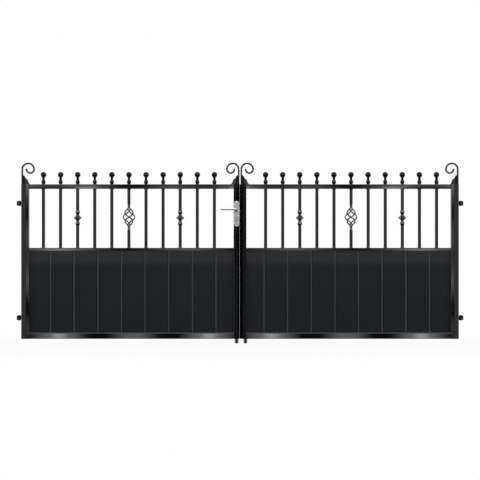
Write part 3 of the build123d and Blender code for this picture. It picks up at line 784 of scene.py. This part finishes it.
def floor_material():
    """White studio floor, which keeps the gate's shadow and fades into the white background.

    To the camera it is white light mixed with a little shaded grey, less of it with the distance
    from the gate. Glossy metal sees it white behind the gate, and dark in front of it.
    """
    material = bpy.data.materials.new("white studio floor")
    material.use_nodes = True
    tree = material.node_tree
    tree.nodes.clear()
    split = split_place(tree, new_node(tree, "ShaderNodeTexCoord").outputs["Object"])
    shaded = new_node(tree, "ShaderNodeBsdfDiffuse", {"Color": (FLOOR_GREY, FLOOR_GREY, FLOOR_GREY, 1)})
    white = new_node(tree, "ShaderNodeEmission", {"Color": (1, 1, 1, 1), "Strength": 1.0})
    away = calculate(tree, "ABSOLUTE", split["Y"])
    whitened = ramp(tree, away, *FLOOR_FADE, FLOOR_WHITENING, 1.0)
    to_camera = mix_shaders(tree, whitened, shaded.outputs["BSDF"], white.outputs["Emission"])
    mirrored = new_node(tree, "ShaderNodeEmission", {"Color": (1, 1, 1, 1)})
    tree.links.new(ramp(tree, split["Y"], *MIRRORED_FADE, FRONT_DARK, 1.0), mirrored.inputs["Strength"])
    path = new_node(tree, "ShaderNodeLightPath")
    to_gate = mix_shaders(tree, path.outputs["Is Glossy Ray"], shaded.outputs["BSDF"],
                          mirrored.outputs["Emission"])
    output = new_node(tree, "ShaderNodeOutputMaterial")
    tree.links.new(mix_shaders(tree, seen_directly(tree), to_gate, to_camera), output.inputs["Surface"])
    return material


def stage_floor():
    """Lay a wide flat floor under the gate."""
    half = FLOOR_SIZE / 2
    corners = [(-half, -half, FLOOR_Z), (half, -half, FLOOR_Z), (half, half, FLOOR_Z),
               (-half, half, FLOOR_Z)]
    mesh = bpy.data.meshes.new("floor")
    mesh.from_pydata(corners, [], [(0, 1, 2, 3)])
    mesh.materials.append(floor_material())
    floor = bpy.data.objects.new("floor", mesh)
    bpy.context.scene.collection.objects.link(floor)


def studio_world():
    """Show plain white behind the gate, and light its front from a dim room.

    By the direction of a ray, the room is white behind the gate. In front of it, it is dark below
    the camera's height, grey at it, and paler above.
    """
    world = bpy.data.worlds.new("studio")
    bpy.context.scene.world = world
    world.use_nodes = True
    tree = world.node_tree
    tree.nodes.clear()
    split = split_place(tree, new_node(tree, "ShaderNodeTexCoord").outputs["Generated"])
    low = ramp(tree, split["Z"], *DARK_TO_GREY, FRONT_DARK, FRONT_GREY)
    high = ramp(tree, split["Z"], *GREY_TO_PALE, 0.0, FRONT_PALE - FRONT_GREY)
    behind = ramp(tree, split["Y"], *FRONT_TO_BEHIND)
    before = calculate(tree, "SUBTRACT", 1.0, behind)
    front_light = calculate(tree, "MULTIPLY", before, calculate(tree, "ADD", low, high))
    strength = calculate(tree, "ADD", calculate(tree, "MULTIPLY", behind, BEHIND_PALE), front_light)
    room = new_node(tree, "ShaderNodeBackground", {"Color": (1, 1, 1, 1)})
    tree.links.new(strength, room.inputs["Strength"])
    white = new_node(tree, "ShaderNodeBackground", {"Color": (1, 1, 1, 1), "Strength": 1.0})
    shown = mix_shaders(tree, seen_directly(tree), room.outputs["Background"], white.outputs["Background"])
    output = new_node(tree, "ShaderNodeOutputWorld")
    tree.links.new(shown, output.inputs["Surface"])


def soft_box(name, place, size, aim):
    """Stand a soft box that faces a point, and that the camera doesn't see."""
    width, height, watts = size
    data = bpy.data.lights.new(name, "AREA")
    data.shape = "RECTANGLE"
    data.size = width
    data.size_y = height
    data.energy = watts
    lamp = bpy.data.objects.new(name, data)
    lamp.location = place
    lamp.rotation_euler = (Vector(aim) - Vector(place)).to_track_quat("-Z", "Y").to_euler()
    lamp.visible_camera = False
    bpy.context.scene.collection.objects.link(lamp)


def studio_lamps():
    """Hang a wide soft box over the camera's view, and stand one on each side of the gate."""
    aim = (MIDDLE_X, 0, LAMP_AIM_Z)
    soft_box("wide soft box", (MIDDLE_X, WIDE_BOX_Y, WIDE_BOX_Z), WIDE_BOX, aim)
    for name, x in (("left soft box", -SIDE_BOX_X), ("right soft box", 2 * MIDDLE_X + SIDE_BOX_X)):
        soft_box(name, (x, SIDE_BOX_Y, SIDE_BOX_Z), SIDE_BOX, aim)


def camera():
    """Stand the camera straight in front of the gap between the leaves."""
    data = bpy.data.cameras.new("camera")
    data.sensor_width = SENSOR_MILLIMETRES
    data.lens = SENSOR_MILLIMETRES * CAMERA_DISTANCE / PICTURE_WIDTH
    viewer = bpy.data.objects.new("camera", data)
    viewer.location = (MIDDLE_X, -CAMERA_DISTANCE, PICTURE_MIDDLE_Z)
    viewer.rotation_euler = (math.pi / 2, 0, 0)
    bpy.context.scene.collection.objects.link(viewer)
    bpy.context.scene.camera = viewer


camera()
finishes = coat_nodes()
for leaf_name in LEAVES:
    board_row(leaf_name, finishes["panel_board"])
    leaf_welds(leaf_name, finishes["black_gloss"])
closing_lip(rubber())
lock_details(finishes["satin_steel"], finishes["lock_brass"])
stage_floor()
studio_world()
studio_lamps()
bpy.context.scene.view_settings.view_transform = "Standard"
